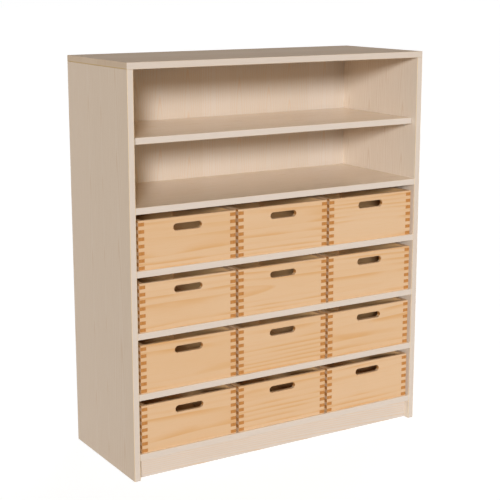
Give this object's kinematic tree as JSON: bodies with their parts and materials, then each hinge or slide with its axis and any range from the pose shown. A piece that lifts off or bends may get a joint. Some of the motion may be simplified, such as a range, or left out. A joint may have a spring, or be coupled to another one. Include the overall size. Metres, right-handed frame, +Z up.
{
  "type": "tray storage shelf unit",
  "caption": "Open wooden cabinet with rows of loose finger-jointed trays that slide out by a slot, below an open bay with a loose shelf.",
  "frame": {"origin": "on the floor, under the middle of the cabinet's outside box", "axes": "+X to the right as seen from the open front, +Y towards the back, +Z up"},
  "size_m": [1.02, 0.4, 1.2],
  "materials": {
    "cabinet_veneer": "pale maple or birch veneer on board, clear matt lacquer, edges banded to match",
    "tray_wood": "solid pale hardwood with a warm clear satin lacquer, darker end grain at the finger joints",
    "tray_plywood": "thin plywood, clear matt lacquer",
    "pin_steel": "zinc-plated steel"
  },
  "bodies": {
    "cabinet": {"left_side": "cabinet_veneer", "right_side": "cabinet_veneer", "top_panel": "cabinet_veneer", "plinth": "cabinet_veneer", "back_panel": "cabinet_veneer", "bottom_shelf": "cabinet_veneer", "tray_shelf_lower": "cabinet_veneer", "tray_shelf_middle": "cabinet_veneer", "tray_shelf_upper": "cabinet_veneer", "bay_floor_shelf": "cabinet_veneer", "shelf_pins": "pin_steel"},
    "loose_shelf": {"loose_shelf": "cabinet_veneer"},
    "tray_01": {"tray_01_front": "tray_wood", "tray_01_sides": "tray_wood", "tray_01_back": "tray_wood", "tray_01_bottom": "tray_plywood"},
    "tray_02": {"tray_02_front": "tray_wood", "tray_02_sides": "tray_wood", "tray_02_back": "tray_wood", "tray_02_bottom": "tray_plywood"},
    "tray_03": {"tray_03_front": "tray_wood", "tray_03_sides": "tray_wood", "tray_03_back": "tray_wood", "tray_03_bottom": "tray_plywood"},
    "tray_04": {"tray_04_front": "tray_wood", "tray_04_sides": "tray_wood", "tray_04_back": "tray_wood", "tray_04_bottom": "tray_plywood"},
    "tray_05": {"tray_05_front": "tray_wood", "tray_05_sides": "tray_wood", "tray_05_back": "tray_wood", "tray_05_bottom": "tray_plywood"},
    "tray_06": {"tray_06_front": "tray_wood", "tray_06_sides": "tray_wood", "tray_06_back": "tray_wood", "tray_06_bottom": "tray_plywood"},
    "tray_07": {"tray_07_front": "tray_wood", "tray_07_sides": "tray_wood", "tray_07_back": "tray_wood", "tray_07_bottom": "tray_plywood"},
    "tray_08": {"tray_08_front": "tray_wood", "tray_08_sides": "tray_wood", "tray_08_back": "tray_wood", "tray_08_bottom": "tray_plywood"},
    "tray_09": {"tray_09_front": "tray_wood", "tray_09_sides": "tray_wood", "tray_09_back": "tray_wood", "tray_09_bottom": "tray_plywood"},
    "tray_10": {"tray_10_front": "tray_wood", "tray_10_sides": "tray_wood", "tray_10_back": "tray_wood", "tray_10_bottom": "tray_plywood"},
    "tray_11": {"tray_11_front": "tray_wood", "tray_11_sides": "tray_wood", "tray_11_back": "tray_wood", "tray_11_bottom": "tray_plywood"},
    "tray_12": {"tray_12_front": "tray_wood", "tray_12_sides": "tray_wood", "tray_12_back": "tray_wood", "tray_12_bottom": "tray_plywood"}
  },
  "joints": [
    {"name": "loose_shelf_out", "type": "slide", "parent": "cabinet", "child": "loose_shelf", "axis": [0, -1, 0], "range_m": [0, 0.39]},
    {"name": "tray_01_out", "type": "slide", "parent": "cabinet", "child": "tray_01", "axis": [0, -1, 0], "range_m": [-0.009, 0.38]},
    {"name": "tray_02_out", "type": "slide", "parent": "cabinet", "child": "tray_02", "axis": [0, -1, 0], "range_m": [-0.009, 0.38]},
    {"name": "tray_03_out", "type": "slide", "parent": "cabinet", "child": "tray_03", "axis": [0, -1, 0], "range_m": [-0.009, 0.38]},
    {"name": "tray_04_out", "type": "slide", "parent": "cabinet", "child": "tray_04", "axis": [0, -1, 0], "range_m": [-0.009, 0.38]},
    {"name": "tray_05_out", "type": "slide", "parent": "cabinet", "child": "tray_05", "axis": [0, -1, 0], "range_m": [-0.009, 0.38]},
    {"name": "tray_06_out", "type": "slide", "parent": "cabinet", "child": "tray_06", "axis": [0, -1, 0], "range_m": [-0.009, 0.38]},
    {"name": "tray_07_out", "type": "slide", "parent": "cabinet", "child": "tray_07", "axis": [0, -1, 0], "range_m": [-0.009, 0.38]},
    {"name": "tray_08_out", "type": "slide", "parent": "cabinet", "child": "tray_08", "axis": [0, -1, 0], "range_m": [-0.009, 0.38]},
    {"name": "tray_09_out", "type": "slide", "parent": "cabinet", "child": "tray_09", "axis": [0, -1, 0], "range_m": [-0.009, 0.38]},
    {"name": "tray_10_out", "type": "slide", "parent": "cabinet", "child": "tray_10", "axis": [0, -1, 0], "range_m": [-0.009, 0.38]},
    {"name": "tray_11_out", "type": "slide", "parent": "cabinet", "child": "tray_11", "axis": [0, -1, 0], "range_m": [-0.009, 0.38]},
    {"name": "tray_12_out", "type": "slide", "parent": "cabinet", "child": "tray_12", "axis": [0, -1, 0], "range_m": [-0.009, 0.38]}
  ]
}
